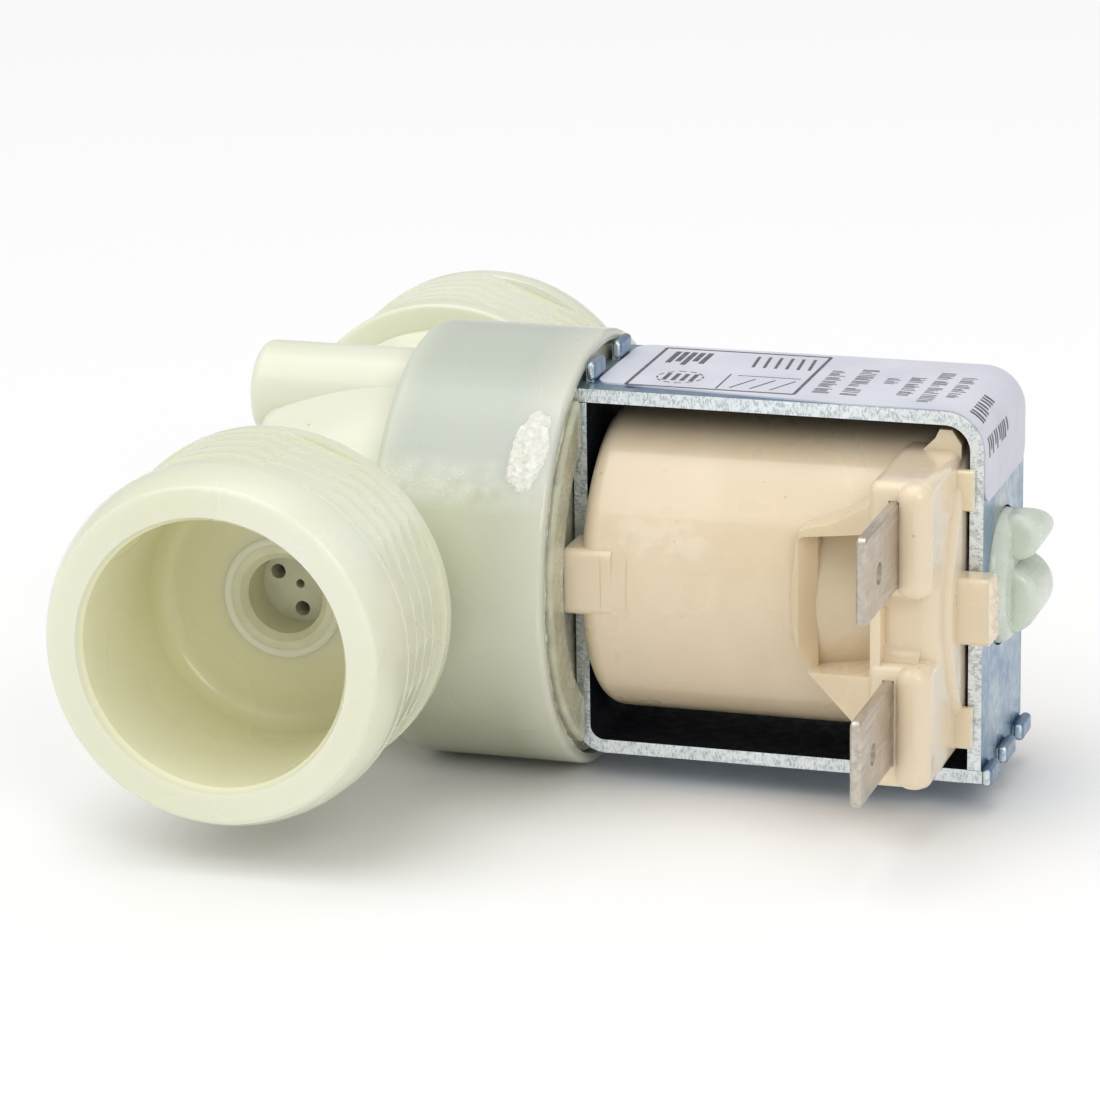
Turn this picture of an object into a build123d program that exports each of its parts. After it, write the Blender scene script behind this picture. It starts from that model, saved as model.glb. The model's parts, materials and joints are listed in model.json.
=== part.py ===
from build123d import *
import math
import os

# Straight-through solenoid valve with G 3/4 male ports.
# Frame, in millimetres: the origin lies on the fixing face, midway between the two
# fixing bosses. +X runs along the coil axis towards the closed end of the guide tube,
# Y runs along the pipe (inlet at -Y, outlet at +Y) and +Z is up.

# ------------------------------------------------------------------ driving dimensions
GAP = 0.05                  # assembly gap between faces that meet

PIPE_X = 8.0                # pipe axis, measured from the fixing face
PORT_END = 33.5             # both port mouths, from the coil axis
THREAD_R = 13.22            # crest radius of the G 3/4 thread
THREAD_PITCH = 1.814
THREAD_DEPTH = 0.6          # moulded thread, shallower than a cut one
THREAD_ROOT = THREAD_R - THREAD_DEPTH
THREAD_STOP = 29.3          # foot of the shoulder at the mouth's end of the thread
THREAD_RUN_IN = 0.7         # length over which the thread rises out of the collar
RIDGE_BURIED = 0.3          # part of the ridge that is sunk in the port's wall
RIDGE_OVER = 0.15           # part of the ridge that is cut off at the crest
COLLAR_R = 13.03            # plain collar behind the thread
COLLAR_START = 19.0
COLLAR_END = 20.4
COLLAR_ROUND = 0.35
SHOULDER_R = 13.15
SHOULDER_RISE = 0.4
SHOULDER_END = 30.3         # from here the plain lead-in curves in to the mouth
LEAD_MIDDLE = (12.83, 32.0)
MOUTH_R = 12.2
MOUTH_ROUND = 0.45
NECK_R = 8.0
NECK_END = 15.2
STEP_R = 11.0               # foot of the collar, behind the bore's floor
STEP_START = 18.2
BORE_R = 9.75
BORE_MOUTH = 0.35
BORE_ROUND = 1.5
BORE_FLOOR = 18.6
FLAT_STEP = 14              # angle between neighbouring mould flats on the thread
FLAT_CLEARANCE = 0.02
NARROW_FLATS = (69, 249)    # flats that interrupt the thread, degrees from +X to +Z
WIDE_FLATS = range(-52, 19, FLAT_STEP)

HUB_LEFT = 1.0              # barrel-shaped middle between the ports
HUB_LEFT_R = 10.1
HUB_MIDDLE = (7.0, 12.05)
HUB_R = 12.6
HUB_ROUND = 2.0

BOSS_R = 3.73
BOSS_ROUND = 0.9
BOSS_SPACING = 21.0
SCREW_R = 1.6
SCREW_DEPTH = 10.0

CUP_R = 16.27
CUP_LEFT = 13.4
CUP_RIM = 26.8
CUP_LEFT_ROUND = 0.8
CUP_RIM_ROUND = 0.45
CHAMBER_R = 13.6
CHAMBER_FLOOR = 16.3
LEDGE_X = 22.4              # ledge that carries the diaphragm's bead
RECESS_R = 15.5
SEAT_X = 19.15
SEAT_OUTER_R = 5.4
SEAT_BORE_R = 4.0
INLET_Y = -9.1              # passage from the regulator pocket to the chamber
INLET_PASSAGE_R = 2.1

POCKET_R = 4.4              # pocket for the flow regulator
POCKET_END = 11.0
POCKET_OUTLET_R = 2.9
CAGE_R = POCKET_R - 0.04
CAGE_BACK = 12.9
CAGE_RECESS_R = 2.85
CAGE_DISC_FRONT = 14.95
CAGE_CHAMFER = 0.5
CAGE_ROUND = 0.5
CAGE_HOLES = 3
CAGE_HOLE_R = 0.56
CAGE_HOLE_CIRCLE = 1.87
CAGE_FIRST_HOLE = 34.0
CAGE_CENTRE_HOLE_R = 0.33
RING_BORE_R = 1.55
RING_ROUND = 0.3

BEAD_T = 1.25
BEAD_R = RECESS_R - 0.1
BEAD_INNER_R = 12.6
BEAD_FOOT_R = 13.8
ROLL_TOP_R = 13.3
ROLL_BACK_R = 9.0
ROLL_FRONT_R = 9.4
MEMBRANE_T = 1.15
INSERT_R = 8.2
INSERT_T = 1.6
INSERT_ROUND = 0.5
STEM_R = 1.9
STEM_SUNK = 0.6             # how far the insert's stem reaches into the seat
PILOT_R = 0.6
BLEED_RADIUS = 7.2
BLEED_R = 0.4
BLEED_CLEARANCE = 0.3
NOZZLE_R = 1.25
NOZZLE_FLARE = 0.6
NOZZLE_H = 0.6

FLANGE_FRONT = 26.32
FLANGE_R = 15.41
FLANGE_ROUND = 0.4
PAD_FRONT = 27.18           # pads on the flange, each side of the yoke
PAD_INNER_R = 12.06
PAD_INSET = 0.5
PAD_CLEARANCE = 0.4
PRESSURE_R = 12.9
PRESSURE_END = 24.9
TUBE_R = 5.0
TUBE_BORE_R = 3.95
TUBE_BORE_END = 53.6
TUBE_TIP = 59.9
PLUG_END = 58.0
PLUG_ROUND = 1.2
TIP_LOBES = ((58.18, 3.16, 1.72), (57.3, -1.63, 2.6))  # x, z and radius of each lobe
LOBE_NEAR = -1.4
LOBE_FAR = 4.0
LOBE_ROUND = 0.7

ARMATURE_R = 3.85
ARMATURE_FRONT = 22.95
ARMATURE_BACK = 50.1
ARMATURE_NOSE_R = 3.1
ARMATURE_NOSE = 1.5
ARMATURE_ROUND = 0.5
ARMATURE_FLAT = 0.5         # depth of the two flow flats
SEAL_R = 1.9
SEAL_FRONT = 22.65
SEAL_BACK = 24.5
SEAL_CLEARANCE = 0.02
SEAL_ROUND = 0.2
SPRING_BORE_R = 2.3
SPRING_BORE_FLOOR = 42.6
SPRING_R = 1.65
SPRING_WIRE_R = 0.3
SPRING_TURNS = 8

YOKE_LEFT = 26.5
YOKE_RIGHT = 56.97
YOKE_HALF_HEIGHT = 13.84
YOKE_HALF_WIDTH = 6.86
SHEET_T = 1.0
TOP_OVERHANG = 0.13         # top plate's end stands past the left plate
TOP_BEND_R = 2.9
BOTTOM_BEND_R = 2.1
FINGERS = 5                 # fingers and slots across the lower right corner
FOOT_FINGER = 0.75          # right plate's fingers, below the bottom plate
END_FINGER = 0.85           # bottom plate's fingers, past the right plate
TOP_FINGER = 1.45           # left plate's fingers, above the top plate
TOP_FINGER_Y = 3.35
TOP_FINGER_W = 2.6
FINGER_ROOT = 0.5           # how far a finger's straight part reaches into its plate
FINGER_NECK = 0.2           # and how far it stays short of its head's tip
PEEN = 0.2                  # how far a peened finger head spreads
PEEN_ROUND = 0.35
HEAD_INSET = 0.35           # keeps the upper finger heads clear of the cup's rim
TUBE_HOLE_R = TUBE_R + 0.15

COIL_R = 11.63
COIL_LEFT = 28.04
COIL_RIGHT = 55.7
COIL_LEFT_ROUND = 1.4
COIL_RIGHT_ROUND = 0.8
SHELL_T = 1.1
COIL_WALL = 1.0

SLEEVE_T = 0.8
SLEEVE_R = TUBE_R + 0.1 + SLEEVE_T
INNER_SLEEVE_END = 38.8
OUTER_SLEEVE_START = 44.5
BOBBIN_BORE_R = SLEEVE_R + GAP
BOBBIN_TUBE_R = 6.85
BOBBIN_FLANGE_R = COIL_R - SHELL_T - GAP
BOBBIN_FLANGE_T = 0.95
BOBBIN_END_GAP = 0.1
WINDING_R = 9.75

BLOCK_LEFT = 50.6           # terminal block on the front of the coil
BLOCK_RIGHT = 55.22
BLOCK_FRONT = -15.7
BLOCK_BACK = -3.8
BLOCK_TOP = 10.81
BLOCK_BOTTOM = -11.68
BLOCK_ROUND = 0.8
UPPER_TOWER_FOOT = 2.4
LOWER_TOWER_HEAD = -2.5
SADDLE_FRONT = -13.9        # recessed front between the towers
SADDLE_ROUND = 1.3
COVE_R = 1.1                # hollow corner between the saddle and each tower
RIB_LEFT = 52.65
RIB_PROUD = 0.72
RIB_ROUND = 1.15
GUSSET_LEFT = 44.2          # where the wedge rises out of the coil
GUSSET_FOOT = -COIL_R - GAP
GUSSET_BACK = -7.2
GUSSET_END = BLOCK_LEFT + 0.9
GUSSET_FRONT = BLOCK_FRONT + 0.2
GUSSET_TOP = [(44.8, 5.9), (47.75, 7.0), (GUSSET_END, 9.5)]  # side view, as (x, z)
GUSSET_BOTTOM = [(GUSSET_END, -9.2), (49.2, -7.3), (45.4, -4.4)]
GUSSET_BULGE = [(44.45, -2.2), (44.15, 0.0), (44.3, 3.0)]
SCOOP_CORNERS = [(44.4, 5.3), (50.7, 6.8), (50.7, -3.7), (44.4, -4.7)]
SCOOP_ROUND = 1.2
SCOOP_RAMP = [(44.5, -12.4), (45.9, -11.1)]  # plan view of its left wall, as (x, y)
SCOOP_FLOOR_R = 11.2
FIN_OUTLINE = [(51.6, 10.0), (53.3, 11.7), (53.6, 12.35), (54.5, 12.35), (55.2, 11.3), (55.2, 10.0)]
FIN_FRONT = -6.3
TABS = (                    # ranges along X, Y and Z, and the rounding of each coil tab
    ((27.1, 30.6), (-COIL_R, -7.1), (-1.9, 3.05), 0.6),
    ((54.5, 58.0), (-9.6, -7.1), (-2.6, 2.35), 0.4),
    ((54.5, 56.4), (-7.8, -7.0), (6.8, 9.8), 0.25),
    ((54.5, 56.4), (-7.8, -7.0), (-11.0, -7.9), 0.25),
)

SPADES = {1: (52.54, 6.36), -1: (52.16, -6.8)}  # x and z of the upper and lower spade
SPADE_W = 6.3
SPADE_T = 0.8
SPADE_TIP = -25.4
SPADE_ROOT = -9.95
SPADE_CORNER = 0.5
SPADE_EDGE = 0.15
SPADE_HOLE_R = 0.8
SPADE_HOLE_Y = -21.8
SPADE_HOLE_DROP = 0.3
SPADE_CLEARANCE = GAP / 5
LEAD_WIRE_R = 0.4

LABEL_T = 0.12
LABEL_LEFT = 27.66
LABEL_FAR = 6.75
LABEL_FOOT = 7.08           # height at which the label ends on the right plate
LABEL_NEAR_LEFT = -4.98     # the near edge is skewed as far as LABEL_SKEW_END
LABEL_NEAR_RIGHT = -6.75
LABEL_SKEW_END = LABEL_LEFT + 19
LABEL_CORNER = 1.35

FAR = 40.0                  # past every part, for cutting bodies
STANDING = (Align.CENTER, Align.CENTER, Align.MIN)
CORNER = (Align.MIN, Align.MIN, Align.MIN)


# ------------------------------------------------------------------------- small tools
def x_cylinder(radius, start, end, y=0.0, z=0.0):
    """A cylinder along X from start to end."""
    return Pos(start, y, z) * Rot(0, 90, 0) * Cylinder(radius, end - start, align=STANDING)


def y_cylinder(radius, start, end, x=0.0, z=0.0):
    """A cylinder along Y from start to end."""
    return Pos(x, start, z) * Rot(-90, 0, 0) * Cylinder(radius, end - start, align=STANDING)


def x_ring(outer, inner, start, end):
    """A tube along the X axis from start to end."""
    return x_cylinder(outer, start, end) - x_cylinder(inner, start - 1, end + 1)


def block(x_range, y_range, z_range):
    """A box given by its limits along each axis."""
    size = [high - low for low, high in (x_range, y_range, z_range)]
    return Pos(x_range[0], y_range[0], z_range[0]) * Box(*size, align=CORNER)


def rounded(face, corners):
    """Rounds the corners of a flat face; corners holds (point, radius) pairs."""
    for point, radius in corners:
        near = face.vertices().sort_by(lambda v: (Vector(v.X, v.Y, v.Z) - Vector(*point)).length)[0]
        face = fillet(near, radius)
    return face


def x_turned(points, corners=()):
    """Turns an outline of (x, radius) points about the X axis."""
    outline = make_face(Polyline(*points, close=True))
    outline = rounded(outline, [((x, r, 0), radius) for (x, r), radius in corners])
    return revolve(outline, Axis.X)


def one_solid(shape):
    """The single solid in a boolean result."""
    return shape.solids().sort_by(lambda s: s.volume)[-1]


# -------------------------------------------------------------------------- valve body
def outer_ring(points):
    """A ring about the Z axis from an outline of (radius, z) points."""
    return revolve(Plane.XZ * make_face(Polyline(*points, close=True)), Axis.Z)


def trim_thread(blank, sign):
    """Cuts the ridge to its crest, fades it in, and flattens it at the mould's joints."""
    outside = 2 * THREAD_R
    past_crest = [
        (THREAD_R, COLLAR_START - 1),
        (outside, COLLAR_START - 1),
        (outside, SHOULDER_END + 1),
        (THREAD_R, SHOULDER_END + 1),
    ]
    run_in = [
        (COLLAR_R + FLAT_CLEARANCE, COLLAR_START - 1),
        (outside, COLLAR_START - 1),
        (outside, COLLAR_END + THREAD_RUN_IN),
        (THREAD_R, COLLAR_END + THREAD_RUN_IN),
        (COLLAR_R + FLAT_CLEARANCE, COLLAR_END),
    ]
    blank -= outer_ring(past_crest)
    blank -= outer_ring(run_in)
    wide = [angle + turn for turn in (0, 180) for angle in WIDE_FLATS]
    flat = Pos(THREAD_ROOT + FLAT_CLEARANCE, 0, COLLAR_END) * Box(
        THREAD_DEPTH + 1,
        THREAD_R,
        THREAD_STOP - SHOULDER_RISE - COLLAR_END,
        align=(Align.MIN, Align.CENTER, Align.MIN),
    )
    for angle in [*NARROW_FLATS, *wide]:
        blank -= Rot(0, 0, sign * angle) * flat
    return blank


def thread_ridge():
    """The helical ridge of one port, along +Z, before it is trimmed."""
    flank = 0.36 * THREAD_PITCH
    crest = 0.12 * THREAD_PITCH
    over = RIDGE_BURIED + THREAD_DEPTH + RIDGE_OVER
    start_z = COLLAR_START + THREAD_PITCH / 2
    height = THREAD_STOP - start_z
    helix = Helix(pitch=THREAD_PITCH, height=height, radius=THREAD_ROOT - RIDGE_BURIED)
    start = Plane(origin=helix @ 0, x_dir=(1, 0, 0), z_dir=helix % 0)
    profile = make_face(
        Polyline((0, -flank), (over, -crest), (over, crest), (0, flank), close=True)
    )
    return Pos(0, 0, start_z) * sweep(start * profile, path=helix, is_frenet=True)


def facing_out(sign):
    """The plane whose Z axis runs out along the pipe, through one port."""
    return Plane(origin=(PIPE_X, 0, 0), x_dir=(1, 0, 0), z_dir=(0, -sign, 0))


def port(sign):
    """One male port, with its thread, from the coil axis to its mouth."""
    wall = Polyline(
        (MOUTH_R, PORT_END),
        (0, PORT_END),
        (0, 0),
        (NECK_R, 0),
        (NECK_R, NECK_END),
        (STEP_R, STEP_START),
        (STEP_R, COLLAR_START),
        (COLLAR_R, COLLAR_START),
        (COLLAR_R, COLLAR_END),
        (THREAD_ROOT, COLLAR_END),
        (THREAD_ROOT, THREAD_STOP - SHOULDER_RISE),
        (SHOULDER_R, THREAD_STOP),
        (SHOULDER_R, SHOULDER_END),
    )
    lead_in = ThreePointArc((SHOULDER_R, SHOULDER_END), LEAD_MIDDLE, (MOUTH_R, PORT_END))
    corners = [
        ((MOUTH_R, PORT_END, 0), MOUTH_ROUND),
        ((COLLAR_R, COLLAR_START, 0), COLLAR_ROUND),
    ]
    outline = rounded(make_face(wall + lead_in), corners)
    blank = trim_thread(revolve(Plane.XZ * outline, Axis.Z) + thread_ridge(), sign)
    return facing_out(sign) * blank


def port_bore(sign):
    """The bore of one port, with a rounded floor and a rounded mouth."""
    outline = make_face(
        Polyline(
            (0, BORE_FLOOR),
            (BORE_R, BORE_FLOOR),
            (BORE_R, PORT_END - 2 * BORE_MOUTH),
            (BORE_R + BORE_MOUTH, PORT_END),
            (BORE_R + BORE_MOUTH, PORT_END + 1),
            (0, PORT_END + 1),
            close=True,
        )
    )
    outline = rounded(outline, [((BORE_R, BORE_FLOOR, 0), BORE_ROUND)])
    return facing_out(sign) * revolve(Plane.XZ * outline, Axis.Z)


def hub():
    """The barrel-shaped middle of the body, from which the bosses and the cup rise."""
    wall = Polyline(
        (CUP_LEFT + 1, HUB_R),
        (CUP_LEFT + 1, 0),
        (HUB_LEFT, 0),
        (HUB_LEFT, HUB_LEFT_R),
    )
    barrel = ThreePointArc((HUB_LEFT, HUB_LEFT_R), HUB_MIDDLE, (CUP_LEFT + 1, HUB_R))
    outline = rounded(make_face(wall + barrel), [((HUB_LEFT, HUB_LEFT_R, 0), HUB_ROUND)])
    return revolve(outline, Axis.X)


def fixing_boss(side):
    """One fixing boss, from the fixing face to the back of the cup."""
    end = CUP_LEFT + 1
    post = x_turned([(0, 0), (0, BOSS_R), (end, BOSS_R), (end, 0)], [((0, BOSS_R), BOSS_ROUND)])
    return Pos(0, 0, side * BOSS_SPACING / 2) * post


def valve_body():
    """Two ports, the hub, the diaphragm cup and the fixing bosses, moulded in one piece."""
    cup = x_turned(
        [(CUP_LEFT, 0), (CUP_LEFT, CUP_R), (CUP_RIM, CUP_R), (CUP_RIM, 0)],
        [((CUP_LEFT, CUP_R), CUP_LEFT_ROUND), ((CUP_RIM, CUP_R), CUP_RIM_ROUND)],
    )
    body = port(1) + port(-1) + hub() + cup + fixing_boss(1) + fixing_boss(-1)
    body -= port_bore(1) + port_bore(-1)
    chamber = x_ring(CHAMBER_R, SEAT_OUTER_R, CHAMBER_FLOOR, SEAT_X)
    chamber += x_cylinder(CHAMBER_R, SEAT_X, CUP_RIM + 1)
    chamber += x_cylinder(RECESS_R, LEDGE_X, CUP_RIM + 1)
    body -= chamber
    body -= x_cylinder(SEAT_BORE_R, PIPE_X, SEAT_X + 1)
    body -= y_cylinder(SEAT_BORE_R, -1, BORE_FLOOR + 1, PIPE_X)
    body -= y_cylinder(POCKET_R, -BORE_FLOOR - 1, -POCKET_END, PIPE_X)
    body -= y_cylinder(POCKET_OUTLET_R, -POCKET_END - 1, INLET_Y + INLET_PASSAGE_R, PIPE_X)
    body -= x_cylinder(INLET_PASSAGE_R, PIPE_X, CHAMBER_FLOOR + 1, INLET_Y)
    for side in (-1, 1):
        body -= x_cylinder(SCREW_R, -1, SCREW_DEPTH, 0, side * BOSS_SPACING / 2)
    return one_solid(body)


# ----------------------------------------------------------------------- flow regulator
def flow_regulator_cage():
    """Cage in the inlet floor: a rim, a recessed disc and its metering holes."""
    cage = y_cylinder(CAGE_R, -BORE_FLOOR, -CAGE_BACK, PIPE_X)
    cage -= y_cylinder(CAGE_RECESS_R, -BORE_FLOOR - 1, -CAGE_DISC_FRONT, PIPE_X)
    mouth = cage.edges().filter_by(GeomType.CIRCLE).filter_by(lambda e: e.radius < CAGE_R - GAP)
    cage = chamfer(mouth.sort_by(Axis.Y)[0], CAGE_CHAMFER)
    rims = cage.edges().filter_by(GeomType.CIRCLE).filter_by(lambda e: e.radius > CAGE_R - GAP)
    cage = fillet(rims.sort_by(Axis.Y)[0], CAGE_ROUND)
    cage -= y_cylinder(CAGE_CENTRE_HOLE_R, -BORE_FLOOR, 0, PIPE_X)
    for index in range(CAGE_HOLES):
        angle = math.radians(CAGE_FIRST_HOLE + 360 * index / CAGE_HOLES)
        x = PIPE_X + CAGE_HOLE_CIRCLE * math.cos(angle)
        cage -= y_cylinder(CAGE_HOLE_R, -BORE_FLOOR, 0, x, CAGE_HOLE_CIRCLE * math.sin(angle))
    return one_solid(cage)


def flow_regulator_ring():
    """Rubber ring behind the cage, which narrows as the pressure rises."""
    front = -CAGE_BACK + GAP
    back = -POCKET_END - GAP
    ring = y_cylinder(CAGE_R - GAP, front, back, PIPE_X)
    ring -= y_cylinder(RING_BORE_R, front - 1, back + 1, PIPE_X)
    return one_solid(fillet(ring.edges().filter_by(GeomType.CIRCLE), RING_ROUND))


# ------------------------------------------------------------------ diaphragm and bonnet
def diaphragm():
    """Rubber membrane: bead in the cup's ledge, thin roll, flat centre over the seat."""
    back = SEAT_X + GAP
    front = back + MEMBRANE_T
    bead_back = LEDGE_X + GAP
    bead_front = bead_back + BEAD_T
    shape = x_turned(
        [
            (back, STEM_R + GAP),
            (back, ROLL_BACK_R),
            (bead_back + 0.1, ROLL_TOP_R),
            (bead_back, BEAD_FOOT_R),
            (bead_back, BEAD_R),
            (bead_front, BEAD_R),
            (bead_front, BEAD_INNER_R),
            (front, ROLL_FRONT_R),
            (front, STEM_R + GAP),
        ]
    )
    bleed = x_cylinder(BLEED_R + BLEED_CLEARANCE, back - 1, front + 1, 0, BLEED_RADIUS)
    return one_solid(shape - bleed)


def diaphragm_insert():
    """Rigid centre of the diaphragm, with the pilot nozzle and the bleed hole."""
    back = SEAT_X + GAP + MEMBRANE_T + GAP
    front = back + INSERT_T
    shape = x_turned(
        [
            (SEAT_X - STEM_SUNK, 0),
            (SEAT_X - STEM_SUNK, STEM_R),
            (back, STEM_R),
            (back, INSERT_R),
            (front, INSERT_R),
            (front, NOZZLE_R + NOZZLE_FLARE),
            (front + NOZZLE_H, NOZZLE_R),
            (front + NOZZLE_H, 0),
        ],
        [((front, INSERT_R), INSERT_ROUND)],
    )
    shape -= x_cylinder(PILOT_R, SEAT_X - 2, front + 2)
    return one_solid(shape - x_cylinder(BLEED_R, back - 1, front + 1, 0, BLEED_RADIUS))


def guide_tube_tip():
    """The closed end of the guide tube: a rounded plug with two lobes on its far side."""
    plug = x_turned(
        [(TUBE_BORE_END, 0), (TUBE_BORE_END, TUBE_R), (PLUG_END, TUBE_R), (PLUG_END, 0)],
        [((PLUG_END, TUBE_R), PLUG_ROUND)],
    )
    within = x_cylinder(TUBE_R, TUBE_BORE_END + GAP, TUBE_TIP + 1)
    for x, z, radius in TIP_LOBES:
        lobe = y_cylinder(radius, LOBE_NEAR, LOBE_FAR, x, z)
        near = lobe.edges().filter_by(GeomType.CIRCLE).sort_by(Axis.Y)[0]
        plug += fillet(near, LOBE_ROUND) & within
    return plug


def bonnet():
    """Cover of the cup, with the pads beside the yoke and the armature's guide tube."""
    back = LEDGE_X + GAP + BEAD_T + GAP
    flange = x_turned(
        [(back, 0), (back, FLANGE_R), (FLANGE_FRONT, FLANGE_R), (FLANGE_FRONT, 0)],
        [((FLANGE_FRONT, FLANGE_R), FLANGE_ROUND)],
    )
    pad_foot = FLANGE_FRONT - PAD_INSET
    pad_r = FLANGE_R - PAD_INSET
    pads = x_turned(
        [(pad_foot, PAD_INNER_R), (pad_foot, pad_r), (PAD_FRONT, pad_r), (PAD_FRONT, PAD_INNER_R)],
        [((PAD_FRONT, pad_r), FLANGE_ROUND)],
    )
    slot_half = YOKE_HALF_WIDTH + PAD_CLEARANCE
    pads -= block((FLANGE_FRONT, PAD_FRONT + 1), (-slot_half, slot_half), (-CUP_R, CUP_R))
    shape = flange + pads + x_cylinder(TUBE_R, FLANGE_FRONT - 1, TUBE_BORE_END + 2 * GAP)
    shape += guide_tube_tip()
    shape -= x_cylinder(PRESSURE_R, back - 1, PRESSURE_END)
    return one_solid(shape - x_cylinder(TUBE_BORE_R, back, TUBE_BORE_END))


# ------------------------------------------------------------------------------ armature
def armature():
    """Steel plunger: stepped nose with the seal's pocket, two flow flats, spring bore."""
    shape = x_turned(
        [
            (ARMATURE_FRONT, 0),
            (ARMATURE_FRONT, ARMATURE_NOSE_R),
            (ARMATURE_FRONT + ARMATURE_NOSE, ARMATURE_NOSE_R),
            (ARMATURE_FRONT + ARMATURE_NOSE, ARMATURE_R),
            (ARMATURE_BACK, ARMATURE_R),
            (ARMATURE_BACK, 0),
        ],
        [((ARMATURE_BACK, ARMATURE_R), ARMATURE_ROUND)],
    )
    shape -= x_cylinder(SEAL_R, ARMATURE_FRONT - 1, SEAL_BACK)
    shape -= x_cylinder(SPRING_BORE_R, SPRING_BORE_FLOOR, ARMATURE_BACK + 1)
    for side in (-1, 1):
        low, high = sorted((side * (ARMATURE_R - ARMATURE_FLAT), side * 2 * ARMATURE_R))
        shape -= block((ARMATURE_FRONT - 1, ARMATURE_BACK + 1), (low, high), (-FAR, FAR))
    return one_solid(shape)


def armature_seal():
    """Rubber pad in the plunger's nose, which closes the pilot nozzle."""
    pad = x_cylinder(SEAL_R - SEAL_CLEARANCE, SEAL_FRONT, SEAL_BACK)
    front = pad.edges().filter_by(GeomType.CIRCLE).sort_by(Axis.X)[0]
    return one_solid(fillet(front, SEAL_ROUND))


def armature_spring():
    """Return spring between the plunger's bore and the end of the guide tube."""
    start = SPRING_BORE_FLOOR + SPRING_WIRE_R + GAP
    end = TUBE_BORE_END - SPRING_WIRE_R - GAP
    pitch = (end - start) / SPRING_TURNS
    helix = Helix(pitch=pitch, height=end - start, radius=SPRING_R)
    wire = Plane(origin=helix @ 0, z_dir=helix % 0) * Circle(SPRING_WIRE_R)
    coil = sweep(wire, path=helix, is_frenet=True)
    return one_solid(Pos(start, 0, 0) * Rot(0, 90, 0) * coil)


# --------------------------------------------------------------------------- coil pieces
def flux_sleeve(start, end):
    """Steel sleeve on the guide tube, inside one end of the bobbin."""
    return one_solid(x_ring(SLEEVE_R, SLEEVE_R - SLEEVE_T, start, end))


def bobbin():
    """Coil former: a tube with two flanges."""
    shape = x_cylinder(BOBBIN_TUBE_R, COIL_LEFT + BOBBIN_END_GAP, COIL_RIGHT - BOBBIN_END_GAP)
    left = COIL_LEFT + COIL_WALL + GAP
    right = COIL_RIGHT - COIL_WALL - GAP
    shape += x_cylinder(BOBBIN_FLANGE_R, left, left + BOBBIN_FLANGE_T)
    shape += x_cylinder(BOBBIN_FLANGE_R, right - BOBBIN_FLANGE_T, right)
    return one_solid(shape - x_cylinder(BOBBIN_BORE_R, COIL_LEFT - 1, COIL_RIGHT + 1))


def winding():
    """Copper winding between the bobbin's flanges."""
    start = COIL_LEFT + COIL_WALL + BOBBIN_FLANGE_T + 2 * GAP
    end = COIL_RIGHT - COIL_WALL - BOBBIN_FLANGE_T - 2 * GAP
    return one_solid(x_ring(WINDING_R, BOBBIN_TUBE_R + GAP, start, end))


def lead_wires(radius):
    """The two short leads from the winding to the roots of the spades."""
    wires = []
    for x, z in SPADES.values():
        end = -math.sqrt(WINDING_R**2 - (abs(z) - LEAD_WIRE_R) ** 2) - GAP
        wires += y_cylinder(radius, SPADE_ROOT + GAP, end, x, z).solids()
    return wires


def spade(side, clearance=0.0):
    """One 6.3 mm spade terminal in a YZ plane, side 1 above and -1 below."""
    x, z = SPADES[side]
    half = SPADE_W / 2 + clearance
    thick = SPADE_T / 2 + clearance
    plate = block((-thick, thick), (SPADE_TIP, SPADE_ROOT + clearance), (-half, half))
    if clearance == 0:
        plate = fillet(plate.edges().filter_by(Axis.X).group_by(Axis.Y)[0], SPADE_CORNER)
        plate = chamfer(plate.edges().filter_by(Axis.Z).group_by(Axis.Y)[0], SPADE_EDGE)
        plate -= x_cylinder(SPADE_HOLE_R, -1, 1, SPADE_HOLE_Y, -SPADE_HOLE_DROP)
    return Pos(x, 0, z) * plate


def softened(shape, radius):
    """A box with its front face's edges and its edges along Y rounded."""
    edges = shape.faces().sort_by(Axis.Y)[0].edges() + shape.edges().filter_by(Axis.Y)
    return fillet(edges, radius)


def tower(z_range):
    """One tower of the terminal block: its body and the rounded rib beside the spade."""
    body = block((BLOCK_LEFT, BLOCK_RIGHT), (BLOCK_FRONT, BLOCK_BACK), z_range)
    rib = block((RIB_LEFT, BLOCK_RIGHT), (BLOCK_FRONT - RIB_PROUD, BLOCK_BACK), z_range)
    return softened(body, BLOCK_ROUND) + softened(rib, RIB_ROUND)


def cove(z, side):
    """Fills the corner between the saddle's front and one tower with a hollow curve."""
    low, high = sorted((z, z + side * COVE_R))
    along = (BLOCK_LEFT + BLOCK_ROUND, BLOCK_RIGHT - RIB_ROUND)
    fill = block(along, (SADDLE_FRONT - COVE_R, SADDLE_FRONT + 1), (low, high))
    return fill - x_cylinder(COVE_R, 0, 2 * FAR, SADDLE_FRONT - COVE_R, z + side * COVE_R)


def saddle():
    """The lower front between the towers, which it joins through two hollow corners."""
    shape = block(
        (BLOCK_LEFT, BLOCK_RIGHT),
        (SADDLE_FRONT, BLOCK_BACK),
        (LOWER_TOWER_HEAD - 1, UPPER_TOWER_FOOT + 1),
    )
    shape = fillet(shape.edges().filter_by(Axis.Z).group_by(Axis.Y)[0], SADDLE_ROUND)
    return shape + cove(LOWER_TOWER_HEAD, 1) + cove(UPPER_TOWER_FOOT, -1)


def side_view(points, corners=()):
    """A prism along Y from an outline of (x, z) points, which reaches past every part."""
    outline = make_face(Polyline(*points, close=True))
    outline = rounded(outline, [((x, z, 0), radius) for (x, z), radius in corners])
    return extrude(Plane.XZ * outline, FAR, both=True)


def plan_view(points):
    """A prism along Z from an outline of (x, y) points, which reaches past every part."""
    return extrude(make_face(Polyline(*points, close=True)), FAR, both=True)


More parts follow.
